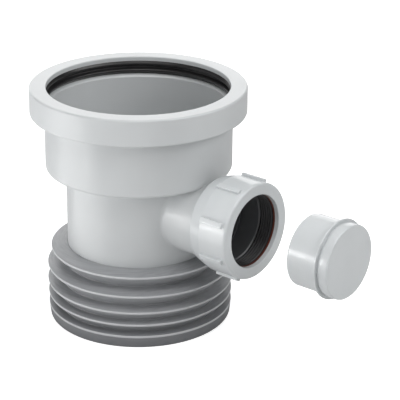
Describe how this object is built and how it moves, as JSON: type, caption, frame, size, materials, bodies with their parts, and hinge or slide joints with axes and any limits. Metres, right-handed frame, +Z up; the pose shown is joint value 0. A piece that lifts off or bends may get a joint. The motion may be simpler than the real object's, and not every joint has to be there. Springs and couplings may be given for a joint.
{
  "type": "drain connector with boss",
  "caption": "Grey drain connector with a ring-seal pipe socket, a finned push-in outlet and a side boss with a compression nut and a blanking plug.",
  "frame": {"origin": "centre of the base, on the main pipe axis", "axes": "+Z up along the main pipe axis, out of the socket; +X along the side branch, out of its nut"},
  "size_m": [0.2276, 0.1336, 0.1507],
  "materials": {
    "light_grey_plastic": "satin moulded plastic",
    "black_rubber": "satin",
    "grey_rubber": "matte",
    "brown_plastic": "satin"
  },
  "bodies": {
    "body": {"connector_body": "light_grey_plastic", "socket_ring": "light_grey_plastic", "socket_seal": "black_rubber", "drain_seal": "grey_rubber", "boss_seal": "black_rubber"},
    "slip": {"slip_ring": "brown_plastic"},
    "nut": {"boss_nut": "light_grey_plastic"},
    "plug": {"blank_plug": "light_grey_plastic"}
  },
  "joints": [
    {"name": "slip_travel", "type": "slide", "parent": "body", "child": "slip", "axis": [1, 0, 0], "range_m": [0, 0.006]},
    {"name": "nut_turn", "type": "hinge", "parent": "slip", "child": "nut", "pos_m": [0.0785, 0, 0.079], "axis": [1, 0, 0], "range_deg": [0, 720]},
    {"name": "plug_pull", "type": "slide", "parent": "slip", "child": "plug", "axis": [1, 0, 0], "range_m": [-0.0592, 0]}
  ],
  "couplings": [
    {"joint": "slip_travel", "follows": "nut_turn", "m_per_rad": 0.00047746}
  ]
}
